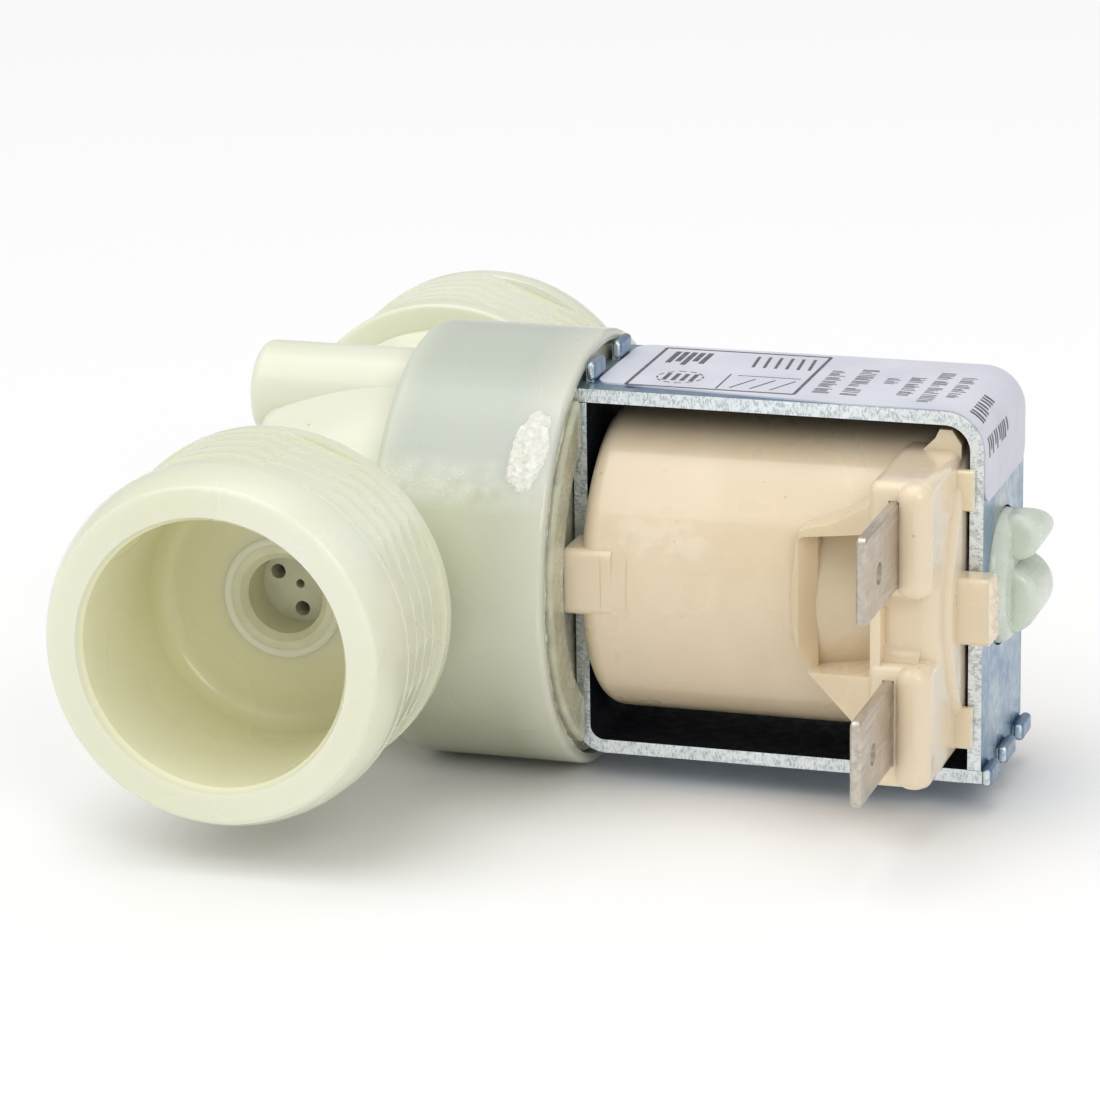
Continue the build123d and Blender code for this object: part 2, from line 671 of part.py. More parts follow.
def gusset_wedge():
    """The wedge from the coil to the towers, with a bulging left end."""
    wedge = plan_view(
        [
            (GUSSET_LEFT - 0.6, GUSSET_FOOT),
            (GUSSET_END, GUSSET_FRONT),
            (GUSSET_END, GUSSET_BACK),
            (GUSSET_LEFT - 0.6, GUSSET_BACK),
        ]
    )
    straight = Polyline(*GUSSET_TOP, *GUSSET_BOTTOM)
    bulge = Spline(GUSSET_BOTTOM[-1], *GUSSET_BULGE, GUSSET_TOP[0])
    return wedge & extrude(Plane.XZ * make_face(straight + bulge), FAR, both=True)


def gusset_scoop():
    """The hollow between the gussets, with a sloping left wall."""
    left = [(corner, SCOOP_ROUND) for corner in (SCOOP_CORNERS[0], SCOOP_CORNERS[3])]
    ramp_top, ramp_foot = SCOOP_RAMP
    room = plan_view(
        [
            (ramp_top[0], -FAR),
            ramp_top,
            ramp_foot,
            (ramp_foot[0], GUSSET_BACK),
            (FAR + GUSSET_END, GUSSET_BACK),
            (FAR + GUSSET_END, -FAR),
        ]
    )
    scoop = side_view(SCOOP_CORNERS, left) & room
    return scoop - x_cylinder(SCOOP_FLOOR_R, 0, 2 * FAR)


def fin():
    """The fin on top of the block, which reaches up under the yoke."""
    return side_view(FIN_OUTLINE) & block((0, 2 * FAR), (FIN_FRONT, BLOCK_BACK), (0, FAR))


def coil_overmould():
    """Moulding round the winding, with the terminal block, gussets, fin and tabs."""
    shape = x_turned(
        [(COIL_LEFT, 0), (COIL_LEFT, COIL_R), (COIL_RIGHT, COIL_R), (COIL_RIGHT, 0)],
        [((COIL_LEFT, COIL_R), COIL_LEFT_ROUND), ((COIL_RIGHT, COIL_R), COIL_RIGHT_ROUND)],
    )
    shape += gusset_wedge()
    shape -= gusset_scoop()
    shape += saddle() + fin()
    shape += tower((UPPER_TOWER_FOOT, BLOCK_TOP)) + tower((BLOCK_BOTTOM, LOWER_TOWER_HEAD))
    for x_range, y_range, z_range, radius in TABS:
        tab = block(x_range, y_range, z_range)
        shape += fillet(tab.edges().filter_by(Axis.X), radius)
    cavity = x_cylinder(COIL_R - SHELL_T, COIL_LEFT + COIL_WALL, COIL_RIGHT - COIL_WALL)
    cavity += x_cylinder(BOBBIN_TUBE_R + GAP, COIL_LEFT - 1, COIL_RIGHT + 1)
    shape -= cavity
    for side in SPADES:
        shape -= spade(side, SPADE_CLEARANCE)
    for channel in lead_wires(LEAD_WIRE_R + GAP):
        shape -= channel
    return one_solid(shape)


# ---------------------------------------------------------------------------------- yoke
def bent_sheet(points, corners):
    """A sheet outline in the XZ plane, extruded over the yoke's width."""
    outline = make_face(Polyline(*points, close=True))
    outline = rounded(outline, [((x, z, 0), radius) for (x, z), radius in corners])
    return extrude(Plane.XZ * outline, YOKE_HALF_WIDTH, both=True)


def finger_edges(index):
    """Limits along Y of one of the fingers across the lower right corner."""
    width = 2 * YOKE_HALF_WIDTH / FINGERS
    low = -YOKE_HALF_WIDTH + index * width
    return low, low + width


def peened_head(x_range, y_range, z_range):
    """The spread, rounded head of one peened finger."""
    spread_y = (y_range[0] - PEEN, y_range[1] + PEEN)
    head = block(x_range, spread_y, z_range)
    return fillet(head.edges(), PEEN_ROUND)


def yoke_upper():
    """Top plate and right plate of the yoke, bent from one sheet."""
    left = YOKE_LEFT - TOP_OVERHANG
    top = YOKE_HALF_HEIGHT
    inner_top = top - SHEET_T
    inner_right = YOKE_RIGHT - SHEET_T
    foot = -YOKE_HALF_HEIGHT + SHEET_T
    shape = bent_sheet(
        [
            (left, top),
            (YOKE_RIGHT, top),
            (YOKE_RIGHT, foot),
            (inner_right, foot),
            (inner_right, inner_top),
            (left, inner_top),
        ],
        [
            ((YOKE_RIGHT, top), TOP_BEND_R),
            ((inner_right, inner_top), TOP_BEND_R - SHEET_T),
        ],
    )
    shape -= x_cylinder(TUBE_HOLE_R, inner_right - 1, YOKE_RIGHT + 1)
    for index in (1, 3):
        low, high = finger_edges(index)
        finger = (low + GAP, high - GAP)
        end = -YOKE_HALF_HEIGHT - FOOT_FINGER
        shape += block((inner_right, YOKE_RIGHT), finger, (end + FINGER_NECK, foot + FINGER_ROOT))
        across = (inner_right, YOKE_RIGHT + PEEN)
        shape += peened_head(across, finger, (end, end + FOOT_FINGER))
    for side in (-1, 1):
        y = side * TOP_FINGER_Y
        half = TOP_FINGER_W / 2
        shape -= block((left - 1, YOKE_LEFT + SHEET_T), (y - half, y + half), (COIL_R, FAR))
    return one_solid(shape)


def yoke_lower():
    """Left plate and bottom plate of the yoke, bent from one sheet."""
    bottom = -YOKE_HALF_HEIGHT
    inner_bottom = bottom + SHEET_T
    inner_left = YOKE_LEFT + SHEET_T
    head = YOKE_HALF_HEIGHT - SHEET_T - GAP
    end = YOKE_RIGHT - SHEET_T - GAP
    shape = bent_sheet(
        [
            (YOKE_LEFT, head),
            (YOKE_LEFT, bottom),
            (end, bottom),
            (end, inner_bottom),
            (inner_left, inner_bottom),
            (inner_left, head),
        ],
        [
            ((YOKE_LEFT, bottom), BOTTOM_BEND_R),
            ((inner_left, inner_bottom), BOTTOM_BEND_R - SHEET_T),
        ],
    )
    shape -= x_cylinder(TUBE_HOLE_R, YOKE_LEFT - 1, inner_left + 1)
    for index in (0, 2, 4):
        low, high = finger_edges(index)
        tip = YOKE_RIGHT + END_FINGER
        finger = (low + GAP, high - GAP)
        shape += block((end - FINGER_ROOT, tip - FINGER_NECK), finger, (bottom, inner_bottom - GAP))
        spread = (bottom - PEEN, inner_bottom + PEEN)
        shape += peened_head((YOKE_RIGHT + GAP, tip), finger, spread)
    for side in (-1, 1):
        y = side * TOP_FINGER_Y
        half = TOP_FINGER_W / 2 - GAP
        tip = YOKE_HALF_HEIGHT + TOP_FINGER
        across = (YOKE_LEFT + HEAD_INSET, inner_left - GAP)
        shape += block(across, (y - half, y + half), (head - FINGER_ROOT, tip - FINGER_NECK))
        across = (YOKE_LEFT + HEAD_INSET, inner_left + PEEN / 2)
        shape += peened_head(across, (y - half, y + half), (YOKE_HALF_HEIGHT + GAP, tip))
    return one_solid(shape)


def rating_label():
    """Paper label over the top plate, the bend and the upper part of the right plate."""
    top = YOKE_HALF_HEIGHT
    right = YOKE_RIGHT
    skin = make_face(
        Polyline(
            (LABEL_LEFT, top),
            (LABEL_LEFT, top + LABEL_T),
            (right + LABEL_T, top + LABEL_T),
            (right + LABEL_T, LABEL_FOOT),
            (right, LABEL_FOOT),
            (right, top),
            close=True,
        )
    )
    bends = [
        ((right + LABEL_T, top + LABEL_T, 0), TOP_BEND_R + LABEL_T),
        ((right, top, 0), TOP_BEND_R),
    ]
    skin = extrude(Plane.XZ * rounded(skin, bends), YOKE_HALF_WIDTH, both=True)
    plan = make_face(
        Polyline(
            (LABEL_LEFT, LABEL_NEAR_LEFT),
            (LABEL_SKEW_END, LABEL_NEAR_RIGHT),
            (right + 1, LABEL_NEAR_RIGHT),
            (right + 1, LABEL_FAR),
            (LABEL_LEFT, LABEL_FAR),
            close=True,
        )
    )
    corners = [
        ((LABEL_LEFT, LABEL_NEAR_LEFT, 0), LABEL_CORNER),
        ((LABEL_LEFT, LABEL_FAR, 0), LABEL_CORNER),
    ]
    label = skin & extrude(rounded(plan, corners), FAR, both=True)
    end = Plane(origin=(0, 0, 0), x_dir=(0, 1, 0), z_dir=(1, 0, 0))
    window = make_face(
        Polyline(
            (LABEL_NEAR_RIGHT, FAR),
            (LABEL_NEAR_RIGHT, LABEL_FOOT),
            (LABEL_FAR, LABEL_FOOT),
            (LABEL_FAR, FAR),
            close=True,
        )
    )
    feet = [
        ((LABEL_NEAR_RIGHT, LABEL_FOOT, 0), LABEL_CORNER),
        ((LABEL_FAR, LABEL_FOOT, 0), LABEL_CORNER),
    ]
    return one_solid(label & extrude(end * rounded(window, feet), 2 * FAR))


# -------------------------------------------------------------------------------- export
def build_nodes():
    """Every sub-part by its node name."""
    return {
        "valve_body": valve_body(),
        "flow_regulator_cage": flow_regulator_cage(),
        "flow_regulator_ring": flow_regulator_ring(),
        "diaphragm": diaphragm(),
        "diaphragm_insert": diaphragm_insert(),
        "bonnet": bonnet(),
        "armature": armature(),
        "armature_seal": armature_seal(),
        "armature_spring": armature_spring(),
        "flux_sleeve_inner": flux_sleeve(YOKE_LEFT + SHEET_T + GAP, INNER_SLEEVE_END),
        "flux_sleeve_outer": flux_sleeve(OUTER_SLEEVE_START, YOKE_RIGHT - SHEET_T - GAP),
        "bobbin": bobbin(),
        "winding": winding(),
        "winding_leads": Compound(lead_wires(LEAD_WIRE_R)),
        "coil_overmould": coil_overmould(),
        "terminal_upper": one_solid(spade(1)),
        "terminal_lower": one_solid(spade(-1)),
        "yoke_upper": yoke_upper(),
        "yoke_lower": yoke_lower(),
        "rating_label": rating_label(),
    }


os.makedirs("parts", exist_ok=True)
for name, shape in build_nodes().items():
    export_step(shape, f"parts/{name}.step")
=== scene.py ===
import json
import math
import random

import bmesh
import bpy
from mathutils import Matrix, Vector, noise


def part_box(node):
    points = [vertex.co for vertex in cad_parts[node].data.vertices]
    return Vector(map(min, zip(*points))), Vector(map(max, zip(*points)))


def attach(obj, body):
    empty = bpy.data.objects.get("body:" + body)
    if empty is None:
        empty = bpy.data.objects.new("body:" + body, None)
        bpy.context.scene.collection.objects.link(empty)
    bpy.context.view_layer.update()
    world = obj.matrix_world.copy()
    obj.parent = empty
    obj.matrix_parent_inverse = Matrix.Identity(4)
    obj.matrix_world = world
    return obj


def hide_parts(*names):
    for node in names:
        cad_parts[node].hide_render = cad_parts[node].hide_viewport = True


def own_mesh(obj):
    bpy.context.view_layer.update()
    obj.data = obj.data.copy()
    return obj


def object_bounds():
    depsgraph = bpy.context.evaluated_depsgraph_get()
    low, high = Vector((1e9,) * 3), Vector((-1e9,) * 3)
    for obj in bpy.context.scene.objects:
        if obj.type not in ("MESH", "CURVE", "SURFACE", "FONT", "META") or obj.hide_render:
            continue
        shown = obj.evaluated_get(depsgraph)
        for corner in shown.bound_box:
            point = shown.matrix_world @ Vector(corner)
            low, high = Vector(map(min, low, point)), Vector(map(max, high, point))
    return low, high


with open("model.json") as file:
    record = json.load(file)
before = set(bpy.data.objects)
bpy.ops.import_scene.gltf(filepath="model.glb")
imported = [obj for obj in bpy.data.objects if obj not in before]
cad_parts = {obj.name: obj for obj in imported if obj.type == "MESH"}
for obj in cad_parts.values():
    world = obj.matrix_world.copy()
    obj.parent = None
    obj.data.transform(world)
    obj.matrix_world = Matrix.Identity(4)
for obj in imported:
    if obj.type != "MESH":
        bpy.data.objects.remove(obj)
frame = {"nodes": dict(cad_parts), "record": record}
cad_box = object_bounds()
NODES = frame["nodes"]
MM = 0.001

# ------------------------------------------------------------------ camera and studio
CAMERA_AZIMUTH = math.radians(17.41)
CAMERA_ELEVATION = math.radians(16.236)
CAMERA_ROLL = math.radians(-0.849)
CAMERA_DISTANCE = 0.3713
CAMERA_LENS = 162.2
CAMERA_SENSOR = 36.0
AIM = Vector((0.022396, 0.0001, -0.000657))
CLIP_START = 0.01
CLIP_END = 20
WORLD_LIGHT = 0.58
SUN_LIGHT = 1.15
SUN_SPREAD = math.radians(60)
SUN_TURN = (math.radians(18), math.radians(-14), 0)
SOFTBOXES = (               # name, place, size and power in watts
    ("key_light", (0.40, -0.50, 0.38), (0.28, 0.28), 1.0),
    ("top_light", (0.0, 0.1, 0.7), (0.5, 0.5), 0.5),
    ("side_light", (-0.5, -0.35, 0.25), (0.2, 0.4), 0.15),
)
FLOOR_HALF = 3.0
FLOOR_COLOR = (0.93, 0.93, 0.93)

# ---------------------------------------------------------- places, taken from the frame
MOUNTS = {m["name"]: m for m in frame["record"]["mounts"]}
PIPE_X = MOUNTS["inlet_bore"]["pos_m"][0] / MM
BORE_R = MOUNTS["inlet_bore"]["dims"]["r_mm"]


def box_mm(name):
    """The corners of a CAD node's box, in millimetres."""
    low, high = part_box(name)
    return Vector(low) / MM, Vector(high) / MM


BODY_HIGH = box_mm("valve_body")[1]
CUP_R = BODY_HIGH.z
RIM_X = BODY_HIGH.x
LABEL_HIGH = box_mm("rating_label")[1]
LABEL_BEND_R = 3.02         # outer radius of the label where it follows the yoke's bend
COIL_HIGH = box_mm("coil_overmould")[1]
CAGE_LOW, CAGE_HIGH = box_mm("flow_regulator_cage")
CAGE_R = (CAGE_HIGH.x - CAGE_LOW.x) / 2
FLOOR_Z = cad_box[0].z

# --------------------------------------------------------- marks on the body and the coil
MM_PER_DEGREE = 0.28        # along the cup's rim
FLASH_ROOT = 0.55           # depth of the weld lips' foot behind the rim
FLASHES = (                 # seed, first and last angle, radius and height of each lip
    (1.0, -64, 56, CUP_R - 0.80, 0.22),
    (7.0, -54, 46, CUP_R - 1.50, 0.34),
)
SCRAPE_X = 24.85
SCRAPE_ANGLE = 40.5
LIP_R = CAGE_R - 0.10
LIP_Y = CAGE_LOW.y + 0.05
LIP_THICK = 0.32
STUB_FOOT = (-9.5, -2.5)    # lowest Y and Z of the torn gate
STUB_SIZE = (2.3, 4.75)

# ------------------------------------------------------------------------ label's layout
INK_TOP = 0.012
PRINT_FIELD = (30.0, 42.6, -5.2, 6.0)       # frame along the label and across it
PRINT_ROWS = (                              # place along, limits across and height
    (44.3, -4.6, 2.2, 1.25),
    (46.4, -4.4, 3.0, 1.25),
    (48.6, -0.6, 1.0, 1.0),
    (50.3, -3.9, 1.6, 1.1),
    (52.1, -5.2, 3.4, 1.1),
    (53.9, -3.8, 2.4, 1.1),
)
BOLD_ROWS = (
    (56.3, -5.6, -0.6, 1.3),
    (58.7, -5.9, 0.4, 1.5),
)


def make_camera():
    """The camera, at the angle and distance of a long lens."""
    right = Vector((math.cos(CAMERA_AZIMUTH), math.sin(CAMERA_AZIMUTH), 0))
    view = Vector((
        -math.sin(CAMERA_AZIMUTH) * math.cos(CAMERA_ELEVATION),
        math.cos(CAMERA_AZIMUTH) * math.cos(CAMERA_ELEVATION),
        -math.sin(CAMERA_ELEVATION),
    ))
    up = right.cross(view)
    turn = Matrix.Rotation(-CAMERA_ROLL, 3, view)
    right, up = turn @ right, turn @ up
    data = bpy.data.cameras.new("camera")
    data.lens = CAMERA_LENS
    data.sensor_width = CAMERA_SENSOR
    data.clip_start = CLIP_START
    data.clip_end = CLIP_END
    camera = bpy.data.objects.new("camera", data)
    bpy.context.scene.collection.objects.link(camera)
    camera.matrix_world = Matrix((
        (right.x, up.x, -view.x, AIM.x - CAMERA_DISTANCE * view.x),
        (right.y, up.y, -view.y, AIM.y - CAMERA_DISTANCE * view.y),
        (right.z, up.z, -view.z, AIM.z - CAMERA_DISTANCE * view.z),
        (0, 0, 0, 1),
    ))
    bpy.context.scene.camera = camera


def softbox(name, place, size, power):
    """An area light that faces the middle of the object."""
    data = bpy.data.lights.new(name, "AREA")
    data.shape = "RECTANGLE"
    data.size, data.size_y = size
    data.energy = power
    light = bpy.data.objects.new(name, data)
    light.location = place
    light.rotation_euler = (AIM - Vector(place)).to_track_quat("-Z", "Y").to_euler()
    bpy.context.scene.collection.objects.link(light)


def make_studio():
    """A pale floor, a bright even surround and soft lights from above and in front."""
    scene = bpy.context.scene
    scene.view_settings.view_transform = "Standard"
    world = bpy.data.worlds.new("studio")
    scene.world = world
    world.use_nodes = True
    world.node_tree.nodes["Background"].inputs["Color"].default_value = (1, 1, 1, 1)
    world.node_tree.nodes["Background"].inputs["Strength"].default_value = WORLD_LIGHT
    for name, place, size, power in SOFTBOXES:
        softbox(name, place, size, power)
    data = bpy.data.lights.new("sky_light", "SUN")
    data.energy = SUN_LIGHT
    data.angle = SUN_SPREAD
    sun = bpy.data.objects.new("sky_light", data)
    sun.rotation_euler = SUN_TURN
    scene.collection.objects.link(sun)
    mesh = bpy.data.meshes.new("floor")
    signs = ((-1, -1), (1, -1), (1, 1), (-1, 1))
    corners = [(a * FLOOR_HALF, b * FLOOR_HALF, FLOOR_Z) for a, b in signs]
    mesh.from_pydata(corners, [], [(0, 1, 2, 3)])
    floor = bpy.data.objects.new("floor", mesh)
    scene.collection.objects.link(floor)
    shader = Shader("floor", FLOOR_COLOR, roughness=0.9)
    mesh.materials.append(shader.material)


# ------------------------------------------------------------------------ shader building
class Shader:
    """A node material whose textures are measured in millimetres of the row frame."""

    def __init__(self, name, color, roughness=0.5, **fixed):
        self.material = bpy.data.materials.new(name)
        self.material.use_nodes = True
        self.tree = self.material.node_tree
        self.surface = self.tree.nodes["Principled BSDF"]
        self.surface.inputs["Base Color"].default_value = (*color, 1)
        self.surface.inputs["Roughness"].default_value = roughness
        for key, value in fixed.items():
            title = key.replace("_", " ").title().replace("Ior", "IOR")
            self.surface.inputs[title].default_value = value
        self.place = self.node("ShaderNodeVectorMath", operation="SCALE")
        self.place.inputs["Scale"].default_value = 1 / MM
        source = self.node("ShaderNodeTexCoord")
        self.link(source.outputs["Object"], self.place.inputs[0])
        self.mm = self.place.outputs[0]
        self.axes = None

    def node(self, kind, **settings):
        made = self.tree.nodes.new(kind)
        for key, value in settings.items():
            setattr(made, key, value)
        return made

    def link(self, a, b):
        self.tree.links.new(a, b)

    def feed(self, socket, value):
        """Sets a socket from another socket, a colour or a number."""
        if isinstance(value, bpy.types.NodeSocket):
            self.link(value, socket)
        elif isinstance(value, tuple):
            socket.default_value = (*value, 1) if len(value) == 3 else value
        else:
            socket.default_value = value

    def axis(self, letter):
        """One coordinate in millimetres."""
        if self.axes is None:
            self.axes = self.node("ShaderNodeSeparateXYZ")
            self.link(self.mm, self.axes.inputs[0])
        return self.axes.outputs[letter]

    def normal(self, letter):
        geometry = self.node("ShaderNodeNewGeometry")
        split = self.node("ShaderNodeSeparateXYZ")
        self.link(geometry.outputs["Normal"], split.inputs[0])
        return self.math("ABSOLUTE", split.outputs[letter])

    def radius(self, a, b):
        """Distance from an axis, from the two coordinates across it."""
        squares = self.math("ADD", self.math("MULTIPLY", a, a), self.math("MULTIPLY", b, b))
        return self.math("SQRT", squares)

    def math(self, operation, a, b=0.0):
        made = self.node("ShaderNodeMath", operation=operation)
        self.feed(made.inputs[0], a)
        self.feed(made.inputs[1], b)
        return made.outputs[0]

    def stretched(self, scale):
        made = self.node("ShaderNodeVectorMath", operation="MULTIPLY")
        self.link(self.mm, made.inputs[0])
        made.inputs[1].default_value = scale
        return made.outputs[0]

    def noise(self, size_mm, detail=3.0, stretch=(1, 1, 1), offset=0.0):
        """Soft noise from 0 to 1 with features of about size_mm."""
        made = self.node("ShaderNodeTexNoise", noise_dimensions="4D")
        self.link(self.stretched(stretch), made.inputs["Vector"])
        made.inputs["W"].default_value = offset
        made.inputs["Scale"].default_value = 1 / size_mm
        made.inputs["Detail"].default_value = detail
        return made.outputs["Fac"]

    def cells(self, size_mm):
        """Distance to the nearest of a scatter of points, from 0 up."""
        made = self.node("ShaderNodeTexVoronoi")
        self.link(self.mm, made.inputs["Vector"])
        made.inputs["Scale"].default_value = 1 / size_mm
        return made.outputs["Distance"]

    def step(self, value, low, high, out_low=0.0, out_high=1.0):
        """A smooth step of value from low to high."""
        made = self.node("ShaderNodeMapRange", interpolation_type="SMOOTHSTEP")
        self.feed(made.inputs["Value"], value)
        made.inputs["From Min"].default_value = low
        made.inputs["From Max"].default_value = high
        made.inputs["To Min"].default_value = out_low
        made.inputs["To Max"].default_value = out_high
        return made.outputs["Result"]

    def band(self, value, low, high, soft):
        """1 between low and high, fading over soft."""
        rise = self.step(value, low - soft, low + soft)
        fall = self.step(value, high - soft, high + soft, 1.0, 0.0)
        return self.math("MULTIPLY", rise, fall)

    def mix(self, share, a, b):
        made = self.node("ShaderNodeMix", data_type="RGBA")
        self.feed(made.inputs[0], share)
        self.feed(made.inputs[6], a)
        self.feed(made.inputs[7], b)
        return made.outputs[2]

    def color(self, value):
        self.link(value, self.surface.inputs["Base Color"])

    def roughness(self, value):
        self.link(value, self.surface.inputs["Roughness"])

    def bump(self, height, depth_mm, under=None):
        """Bump of depth_mm where height runs from 0 to 1."""
        made = self.node("ShaderNodeBump")
        made.inputs["Distance"].default_value = depth_mm * MM
        self.link(height, made.inputs["Height"])
        if under is not None:
            self.link(under, made.inputs["Normal"])
        self.link(made.outputs[0], self.surface.inputs["Normal"])
        return made.outputs[0]


# ------------------------------------------------------------------------------ materials
def body_plastic():
    """Translucent ivory plastic, cooler on the cup; painted light makes the cup's top cooler, and
    painted shade darkens its underside to olive and tints the bores olive, darker further in.
    """
    s = Shader("body_plastic", (0.8, 0.82, 0.68), 0.3, subsurface_weight=0.4,
               subsurface_radius=(2.8 * MM, 2.9 * MM, 1.7 * MM), subsurface_scale=1.0, ior=1.49,
               coat_weight=0.3, coat_roughness=0.12)
    cloud = s.step(s.noise(14.0, 0.0), 0.25, 0.75)
    port = s.mix(cloud, (0.73, 0.735, 0.57), (0.77, 0.775, 0.64))
    cup = s.mix(cloud, (0.56, 0.58, 0.43), (0.63, 0.645, 0.50))
    # Painted light: the cup's top is tinted cooler and slightly darker.
    cup = s.mix(s.step(s.axis("Z"), 6.5, 10.0), cup, (0.50, 0.545, 0.465))
    # Painted shade: the cup darkens to olive towards its underside.
    cup = s.mix(s.step(s.axis("Z"), -3.0, -15.0), cup, (0.37, 0.375, 0.27))
    cup = s.mix(s.step(s.axis("X"), 22.5, 26.5, 0.0, 0.6), cup, (0.68, 0.685, 0.56))
    on_cup = s.step(s.axis("X"), 10.5, 16.0)
    on_cup = s.math("MULTIPLY", on_cup, s.step(s.math("ABSOLUTE", s.axis("Y")), 17.6, 16.4))
    whole = s.mix(on_cup, port, cup)
    x = s.math("SUBTRACT", s.axis("X"), PIPE_X)
    z = s.axis("Z")
    reach = s.radius(x, z)
    # Painted shade in the bores: the plastic there is tinted olive, and darker further in from the
    # mouth.
    in_bore = s.step(reach, BORE_R + 0.3, BORE_R + 0.05)
    in_bore = s.math("MULTIPLY", in_bore, s.step(s.math("ABSOLUTE", s.axis("Y")), 18.2, 18.5))
    depth = s.step(s.math("ABSOLUTE", s.axis("Y")), 33.0, 21.0)
    shade = s.mix(depth, (0.85, 0.84, 0.63), (0.80, 0.78, 0.54))
    whole = s.mix(in_bore, whole, shade)
    crystals = s.step(s.cells(0.28), 0.42, 0.10)
    frost = s.step(s.noise(2.2, 4.0, offset=3.0), 0.30, 0.56)
    patch = s.math("MULTIPLY", s.band(z, 6.9, 9.6, 0.7), s.band(s.axis("X"), 13.8, 25.4, 1.2))
    patch = s.math("MULTIPLY", patch, s.step(s.axis("Y"), -8.0, -11.0))
    patch = s.math("MULTIPLY", patch, frost)
    white = s.math("MULTIPLY", patch, s.step(crystals, 0.0, 1.0, 0.42, 0.85))
    whole = s.mix(white, whole, (0.80, 0.82, 0.73))
    specks = s.step(s.cells(5.5), 0.035, 0.02)
    whole = s.mix(s.math("MULTIPLY", specks, 0.4), whole, (0.36, 0.34, 0.24))
    s.color(whole)
    gloss = s.step(s.noise(12.0, 0.0), 0.3, 0.7, 0.26, 0.30)
    s.roughness(s.math("ADD", gloss, s.math("MULTIPLY", patch, 0.25)))
    soft = s.bump(s.noise(9.0, 0.0), 0.03)
    s.bump(s.math("MULTIPLY", patch, crystals), 0.03, soft)
    return s.material


def bonnet_plastic():
    """Cooler, clearer plastic of the bonnet and its guide tube."""
    s = Shader("bonnet_plastic", (0.6, 0.68, 0.6), 0.26, subsurface_weight=0.4,
               subsurface_radius=(2.0 * MM, 2.4 * MM, 2.0 * MM), subsurface_scale=1.0, ior=1.49)
    cloud = s.step(s.noise(4.0, 3.0), 0.35, 0.65)
    tube = s.mix(cloud, (0.58, 0.63, 0.54), (0.66, 0.71, 0.62))
    flange = s.mix(cloud, (0.46, 0.46, 0.33), (0.60, 0.60, 0.45))
    s.color(s.mix(s.step(s.axis("X"), 27.3, 28.5), flange, tube))
    s.roughness(s.step(s.noise(1.0, 3.0), 0.3, 0.7, 0.18, 0.34))
    s.bump(s.noise(2.4, 2.0), 0.02)
    return s.material


def overmould_plastic():
    """Glossy cream moulding with faint flow lines, sink marks and one scuffed patch, which also
    carries a painted highlight.
    """
    s = Shader("overmould_plastic", (0.84, 0.70, 0.50), 0.3, subsurface_weight=0.3,
               subsurface_radius=(2.0 * MM, 1.4 * MM, 0.8 * MM), subsurface_scale=1.0,
               coat_weight=0.6, coat_roughness=0.07, ior=1.5)
    flow = s.step(s.noise(7.0, 3.0, (1.0, 0.4, 0.4)), 0.35, 0.65)
    tone = s.mix(flow, (0.72, 0.59, 0.405), (0.77, 0.64, 0.46))
    warm = s.step(s.noise(12.0, 1.0, offset=4.0), 0.45, 0.7, 0.0, 0.35)
    tone = s.mix(warm, tone, (0.74, 0.575, 0.395))
    block = s.step(s.axis("X"), 49.5, 51.5)
    tone = s.mix(s.math("MULTIPLY", block, 0.8), tone, (0.80, 0.675, 0.49))
    specks = s.step(s.cells(1.9), 0.07, 0.045)
    tone = s.mix(s.math("MULTIPLY", specks, 0.5), tone, (0.42, 0.30, 0.17))
    right_line = s.band(s.axis("X"), 31.72, 31.78, 0.05)
    left_line = s.band(s.axis("X"), 29.78, 29.84, 0.05)
    lines = s.math("ADD", right_line, left_line)
    lines = s.math("MULTIPLY", lines, s.band(s.axis("Z"), -1.2, 2.5, 0.5))
    lines = s.math("MULTIPLY", lines, s.step(s.axis("Y"), -9.0, -10.0))
    tone = s.mix(s.math("MULTIPLY", lines, 0.45), tone, (0.50, 0.36, 0.22))
    scuff_and_highlight = s.band(s.axis("X"), 29.5, 37.5, 1.2)
    scuff_and_highlight = s.math("MULTIPLY", scuff_and_highlight, s.band(s.axis("Z"), 2.6, 5.2, 0.8))
    scuff_and_highlight = s.math("MULTIPLY", scuff_and_highlight, s.step(s.axis("Y"), -8.0, -9.5))
    scuff_and_highlight = s.math("MULTIPLY", scuff_and_highlight, s.step(s.noise(1.3, 5.0, offset=9.0), 0.40, 0.58))
    # The scuffed patch is also painted lighter: a painted highlight on top of the scuff's roughness
    # and scratches.
    s.color(s.mix(s.math("MULTIPLY", scuff_and_highlight, 0.35), tone, (0.86, 0.77, 0.62)))
    gloss = s.step(s.noise(3.5, 2.0), 0.3, 0.7, 0.26, 0.34)
    s.roughness(s.math("ADD", gloss, s.math("MULTIPLY", scuff_and_highlight, 0.3)))
    sink = s.bump(s.noise(6.5, 1.0, (1.0, 0.6, 0.6), offset=2.0), 0.08)
    fine = s.bump(s.noise(0.9, 2.0, offset=7.0), 0.006, sink)
    scratched = s.bump(s.math("MULTIPLY", scuff_and_highlight, s.noise(0.45, 4.0)), 0.05, fine)
    s.bump(s.math("SUBTRACT", 1.0, lines), 0.03, scratched)
    return s.material


